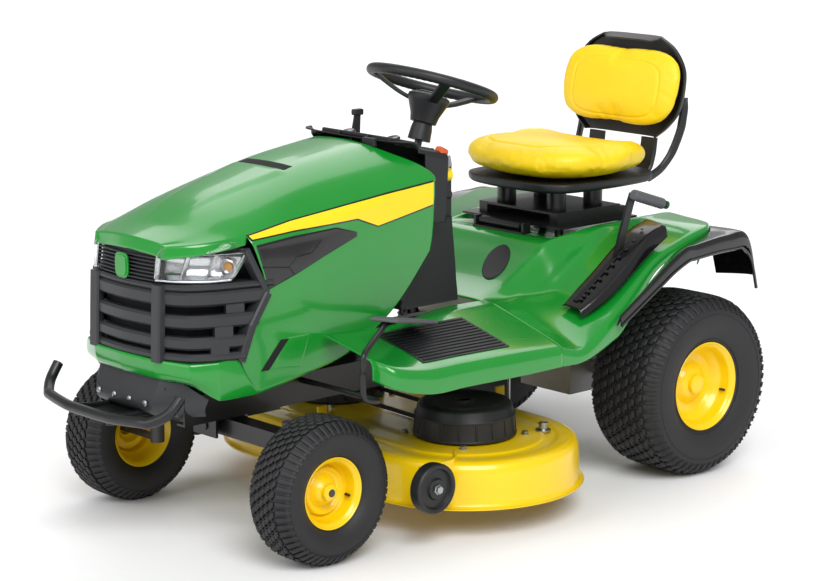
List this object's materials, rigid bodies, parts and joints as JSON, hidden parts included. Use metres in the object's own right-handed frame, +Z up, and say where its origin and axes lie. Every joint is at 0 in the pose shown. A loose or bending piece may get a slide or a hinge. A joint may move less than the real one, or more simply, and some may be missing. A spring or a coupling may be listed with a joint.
{
  "type": "riding lawn mower",
  "caption": "Lawn tractor with a hinged hood, sprung seat, steering wheel, pedals, lift lever and a belly-mounted two-blade mowing deck with side discharge.",
  "frame": {"origin": "on the ground under the middle of the machine's bounding box", "axes": "+X forward, +Y to the operator's left, +Z up"},
  "size_m": [1.9649, 1.1789, 1.123],
  "materials": {
    "steel_black": "satin black paint",
    "deck_yellow": "gloss yellow paint",
    "rim_yellow": "gloss yellow paint",
    "green_plastic": "gloss green moulding",
    "black_plastic": "textured black moulding",
    "grille_plastic": "charcoal moulding",
    "clear_lamp": "clear lens with silver bowl",
    "yellow_plastic": "gloss yellow film",
    "cushion_yellow": "smooth yellow vinyl",
    "rubber_black": "moulded rubber",
    "tyre_black": "turf tyre rubber",
    "cast": "cast casing",
    "alloy": "cast alloy",
    "steel": "bare steel",
    "tank_plastic": "natural moulded plastic",
    "yellow_knob": "gloss yellow knob"
  },
  "bodies": {
    "chassis": {"frame": "steel_black", "rear_hitch_plate": "steel_black", "bumper": "steel_black", "engine_block": "alloy", "fan_shroud": "black_plastic", "battery": "black_plastic", "transaxle": "cast", "drive_pulleys": "steel", "drive_belt": "rubber_black", "fuel_tank": "tank_plastic", "fender_deck": "green_plastic", "fender_extensions": "black_plastic", "foot_mats": "rubber_black", "lift_bezel": "black_plastic", "dash_tower": "black_plastic", "dash_housing": "black_plastic", "seat_bracket": "steel_black"},
    "front_axle": {"front_axle": "cast"},
    "steering_knuckle_left": {"kingpin_left": "steel_black"},
    "steering_knuckle_right": {"kingpin_right": "steel_black"},
    "front_wheel_left": {"front_rim_left": "rim_yellow", "front_tyre_left": "tyre_black"},
    "front_wheel_right": {"front_rim_right": "rim_yellow", "front_tyre_right": "tyre_black"},
    "rear_wheel_left": {"rear_rim_left": "rim_yellow", "rear_tyre_left": "tyre_black"},
    "rear_wheel_right": {"rear_rim_right": "rim_yellow", "rear_tyre_right": "tyre_black"},
    "steering": {"steering_wheel": "black_plastic", "steering_shaft": "steel"},
    "hood": {"hood_shell": "green_plastic", "grille": "grille_plastic", "headlamps": "clear_lamp", "hood_stripes": "yellow_plastic", "hood_inserts": "black_plastic"},
    "seat_base": {"seat_plate": "steel_black"},
    "seat": {"seat_frame": "steel_black", "seat_shell": "black_plastic", "seat_cushion": "cushion_yellow", "back_cushion": "cushion_yellow"},
    "lift_lever": {"lift_lever": "steel_black", "lift_grip": "black_plastic"},
    "lift_button": {"lift_button": "green_plastic"},
    "mower_deck": {"deck_shell": "deck_yellow", "deck_fittings": "alloy", "spindle_covers": "black_plastic", "mower_belt": "rubber_black"},
    "blade_left": {"blade_left": "steel"},
    "blade_right": {"blade_right": "steel"},
    "gauge_wheel_left": {"gauge_wheel_left": "black_plastic"},
    "gauge_wheel_right": {"gauge_wheel_right": "black_plastic"},
    "deflector": {"discharge_deflector": "black_plastic"},
    "brake_pedal": {"brake_pedal": "steel_black"},
    "forward_pedal": {"forward_pedal": "steel_black"},
    "reverse_pedal": {"reverse_pedal": "steel_black"},
    "throttle_lever": {"throttle_lever": "black_plastic"},
    "pto_knob": {"pto_knob": "yellow_knob"},
    "choke_knob": {"choke_knob": "black_plastic"},
    "park_brake_knob": {"park_brake_knob": "black_plastic"},
    "ignition_key": {"ignition_key": "steel"}
  },
  "joints": [
    {"name": "front_axle_pivot", "type": "hinge", "parent": "chassis", "child": "front_axle", "pos_m": [0.578, 0, 0.27], "axis": [1, 0, 0], "range_deg": [-5, 5]},
    {"name": "steer", "type": "hinge", "parent": "chassis", "child": "steering", "pos_m": [-0.128, 0, 1.045], "axis": [-0.3173, 0, 0.9483], "range_deg": [-160, 160]},
    {"name": "kingpin_turn_left", "type": "hinge", "parent": "front_axle", "child": "steering_knuckle_left", "pos_m": [0.578, 0.262, 0.27], "axis": [0, 0, 1], "range_deg": [-32.5, 32.5]},
    {"name": "kingpin_turn_right", "type": "hinge", "parent": "front_axle", "child": "steering_knuckle_right", "pos_m": [0.578, -0.262, 0.27], "axis": [0, 0, 1], "range_deg": [-32.5, 32.5]},
    {"name": "front_wheel_spin_left", "type": "hinge", "parent": "steering_knuckle_left", "child": "front_wheel_left", "pos_m": [0.578, 0.374, 0.1775], "axis": [0, 1, 0], "continuous": true},
    {"name": "front_wheel_spin_right", "type": "hinge", "parent": "steering_knuckle_right", "child": "front_wheel_right", "pos_m": [0.578, -0.374, 0.1775], "axis": [0, 1, 0], "continuous": true},
    {"name": "rear_wheel_spin_left", "type": "hinge", "parent": "chassis", "child": "rear_wheel_left", "pos_m": [-0.662, 0.391, 0.242], "axis": [0, 1, 0], "continuous": true},
    {"name": "rear_wheel_spin_right", "type": "hinge", "parent": "chassis", "child": "rear_wheel_right", "pos_m": [-0.662, -0.391, 0.242], "axis": [0, 1, 0], "continuous": true},
    {"name": "hood_open", "type": "hinge", "parent": "chassis", "child": "hood", "pos_m": [0.838, 0, 0.42], "axis": [0, 1, 0], "range_deg": [0, 75]},
    {"name": "seat_tilt", "type": "hinge", "parent": "chassis", "child": "seat_base", "pos_m": [-0.381, 0, 0.65], "axis": [0, 1, 0], "range_deg": [0, 50]},
    {"name": "seat_slide", "type": "slide", "parent": "seat_base", "child": "seat", "axis": [1, 0, 0], "range_m": [-0.06, 0.02]},
    {"name": "deck_lift", "type": "slide", "parent": "chassis", "child": "mower_deck", "axis": [0, 0, 1], "range_m": [-0.055, 0]},
    {"name": "lift_lever_swing", "type": "hinge", "parent": "chassis", "child": "lift_lever", "pos_m": [-0.332, 0, 0.36], "axis": [0, 1, 0], "range_deg": [0, 35.5]},
    {"name": "lift_button_press", "type": "slide", "parent": "lift_lever", "child": "lift_button", "axis": [0.9512, 0, 0.3087], "range_m": [0, 0.006], "stiffness_N_per_m": 600, "springref_m": -0.004},
    {"name": "blade_spin_left", "type": "hinge", "parent": "mower_deck", "child": "blade_left", "pos_m": [0.018, 0.28, 0.15], "axis": [0, 0, 1], "continuous": true},
    {"name": "blade_spin_right", "type": "hinge", "parent": "mower_deck", "child": "blade_right", "pos_m": [-0.012, -0.256, 0.15], "axis": [0, 0, 1], "continuous": true},
    {"name": "gauge_spin_left", "type": "hinge", "parent": "mower_deck", "child": "gauge_wheel_left", "pos_m": [0.323, 0.492, 0.156], "axis": [0, 1, 0], "continuous": true},
    {"name": "gauge_spin_right", "type": "hinge", "parent": "mower_deck", "child": "gauge_wheel_right", "pos_m": [0.293, -0.474, 0.156], "axis": [0, 1, 0], "continuous": true},
    {"name": "deflector_swing", "type": "hinge", "parent": "mower_deck", "child": "deflector", "pos_m": [-0.012, -0.56, 0.189], "axis": [-1, 0, 0], "range_deg": [0, 85]},
    {"name": "brake_press", "type": "hinge", "parent": "chassis", "child": "brake_pedal", "pos_m": [0.458, 0.3, 0.386], "axis": [0, 1, 0], "range_deg": [0, 14], "stiffness_Nm_per_rad": 25, "springref_deg": -17.19},
    {"name": "forward_press", "type": "hinge", "parent": "chassis", "child": "forward_pedal", "pos_m": [0.458, -0.3, 0.386], "axis": [0, 1, 0], "range_deg": [0, 14], "stiffness_Nm_per_rad": 20, "springref_deg": -14.32},
    {"name": "reverse_press", "type": "hinge", "parent": "chassis", "child": "reverse_pedal", "pos_m": [0.378, -0.25, 0.386], "axis": [0, 1, 0], "range_deg": [0, 12], "stiffness_Nm_per_rad": 15, "springref_deg": -14.32},
    {"name": "throttle_swing", "type": "hinge", "parent": "chassis", "child": "throttle_lever", "pos_m": [0.054, -0.105, 0.88], "axis": [0, 1, 0], "range_deg": [0, 25]},
    {"name": "pto_pull", "type": "slide", "parent": "chassis", "child": "pto_knob", "axis": [-1, 0, 0], "range_m": [0, 0.012]},
    {"name": "choke_pull", "type": "slide", "parent": "chassis", "child": "choke_knob", "axis": [-1, 0, 0], "range_m": [0, 0.02]},
    {"name": "park_brake_pull", "type": "slide", "parent": "chassis", "child": "park_brake_knob", "axis": [-1, 0, 0], "range_m": [0, 0.02]},
    {"name": "key_turn", "type": "hinge", "parent": "chassis", "child": "ignition_key", "pos_m": [0.006, -0.172, 0.85], "axis": [-1, 0, 0], "range_deg": [0, 100]}
  ],
  "couplings": [
    {"joint": "kingpin_turn_left", "follows": "steer", "ratio": 0.2},
    {"joint": "kingpin_turn_right", "follows": "steer", "ratio": 0.2},
    {"joint": "lift_lever_swing", "follows": "deck_lift", "rad_per_m": -11.1},
    {"joint": "blade_spin_right", "follows": "blade_spin_left", "ratio": 1}
  ]
}
